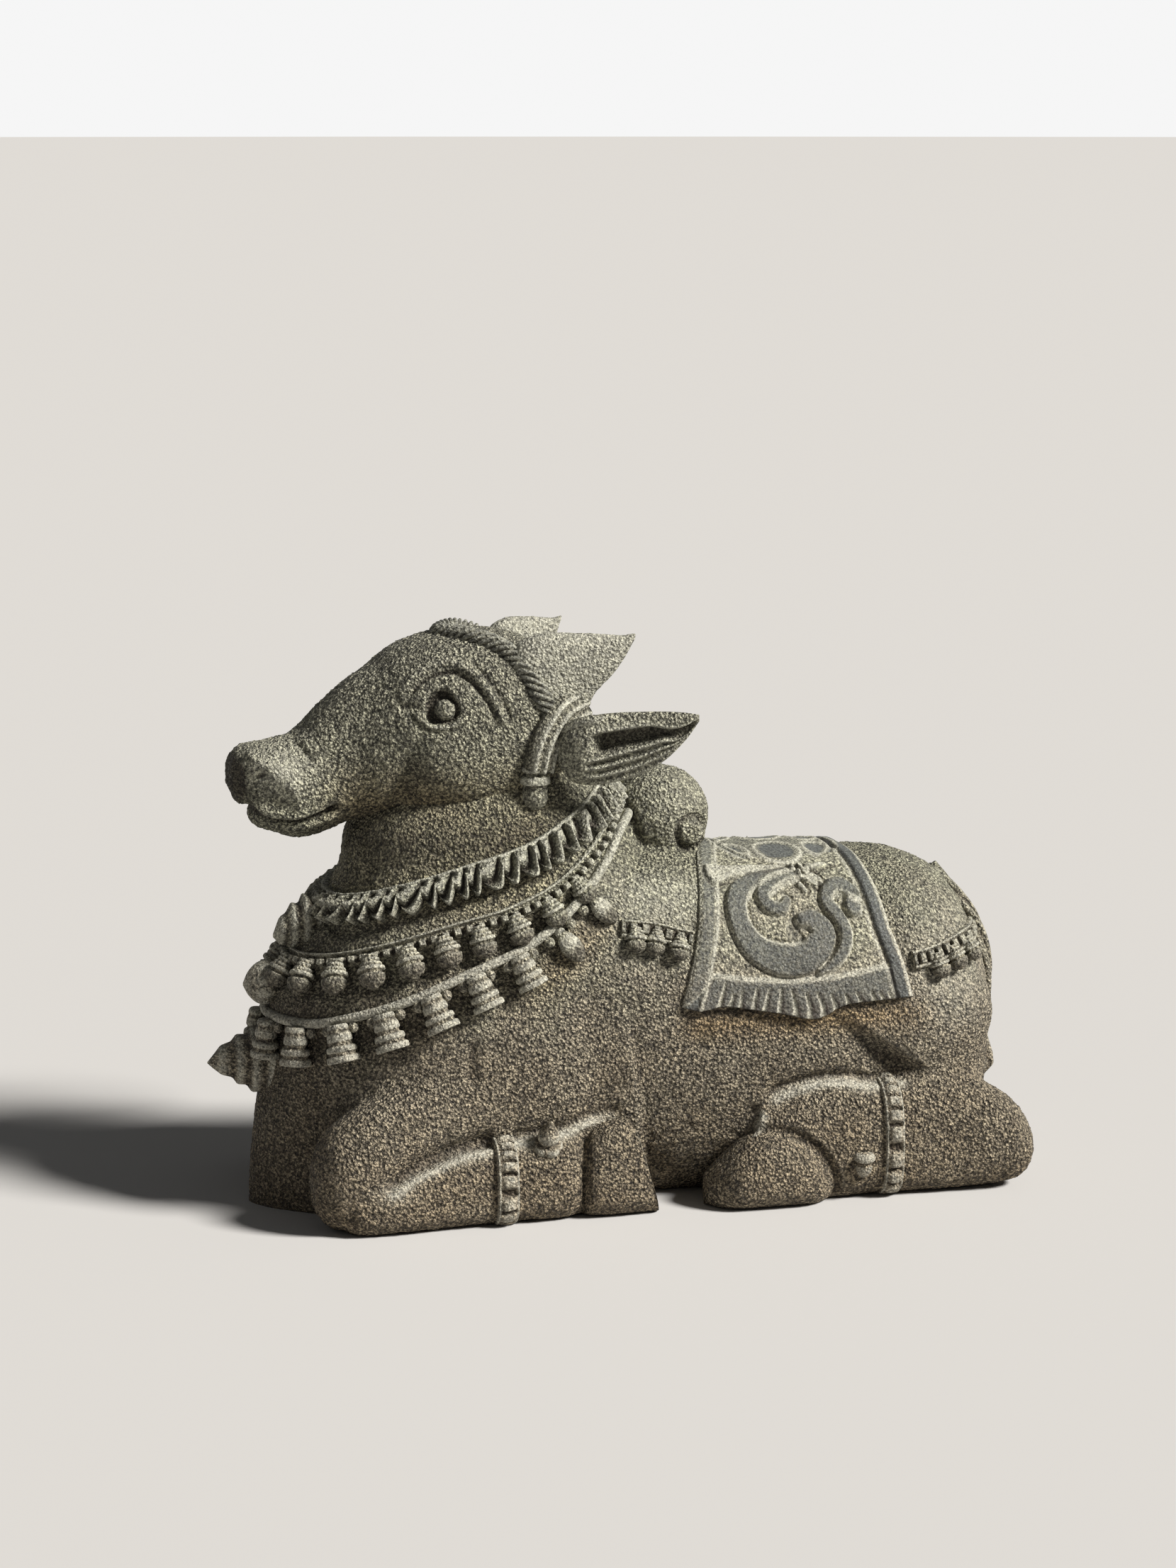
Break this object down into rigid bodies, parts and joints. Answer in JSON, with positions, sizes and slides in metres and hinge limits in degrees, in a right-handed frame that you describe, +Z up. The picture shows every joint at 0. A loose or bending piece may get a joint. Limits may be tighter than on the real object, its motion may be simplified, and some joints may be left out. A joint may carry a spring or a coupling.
{
  "type": "nandi bull figurine",
  "caption": "Reclining bull carved in granite with a fringed saddle cloth, bell necklaces, brow rope and folded legs; stands flat on its belly and legs.",
  "frame": {"origin": "middle of the footprint of the whole carving, on the surface it stands on", "axes": "+Z up; the bull looks along -X; its left flank faces -Y"},
  "size_m": [0.3422, 0.1444, 0.2424],
  "materials": {
    "granite": "bush-hammered speckled granite",
    "granite_dark": "dressed darker granite",
    "granite_rubbed": "rubbed pale edges on granite",
    "granite_scroll": "smooth blue-grey granite"
  },
  "bodies": {
    "root": {"trunk": "granite", "neck_and_chest": "granite", "head": "granite", "hump": "granite", "tail": "granite", "brow_rope": "granite_dark", "rope_collar": "granite_rubbed", "bell_necklace": "granite_rubbed", "cup_bell_necklace": "granite_rubbed", "upper_pendant": "granite", "round_pendant": "granite", "lower_pendant": "granite", "ear_left": "granite", "ear_right": "granite", "horn_left": "granite", "horn_right": "granite", "ear_strap_left": "granite_rubbed", "ear_strap_right": "granite_rubbed", "foreleg_left": "granite", "foreleg_right": "granite", "fore_hoof_left": "granite", "fore_hoof_right": "granite", "fore_anklet_left": "granite_rubbed", "fore_anklet_right": "granite_rubbed", "fore_bud_left": "granite_rubbed", "fore_bud_right": "granite_rubbed", "hind_hoof_left": "granite", "hind_hoof_right": "granite", "hind_leg_left": "granite", "hind_leg_right": "granite", "hind_anklet_left": "granite_rubbed", "hind_anklet_right": "granite_rubbed", "hind_bud_left": "granite_rubbed", "hind_bud_right": "granite_rubbed", "saddle_cloth": "granite_dark", "cloth_scroll_left": "granite_scroll", "cloth_scroll_right": "granite_scroll", "girth_strap_left": "granite_rubbed", "girth_strap_right": "granite_rubbed", "hip_strap_left": "granite_rubbed", "hip_strap_right": "granite_rubbed"}
  },
  "joints": []
}
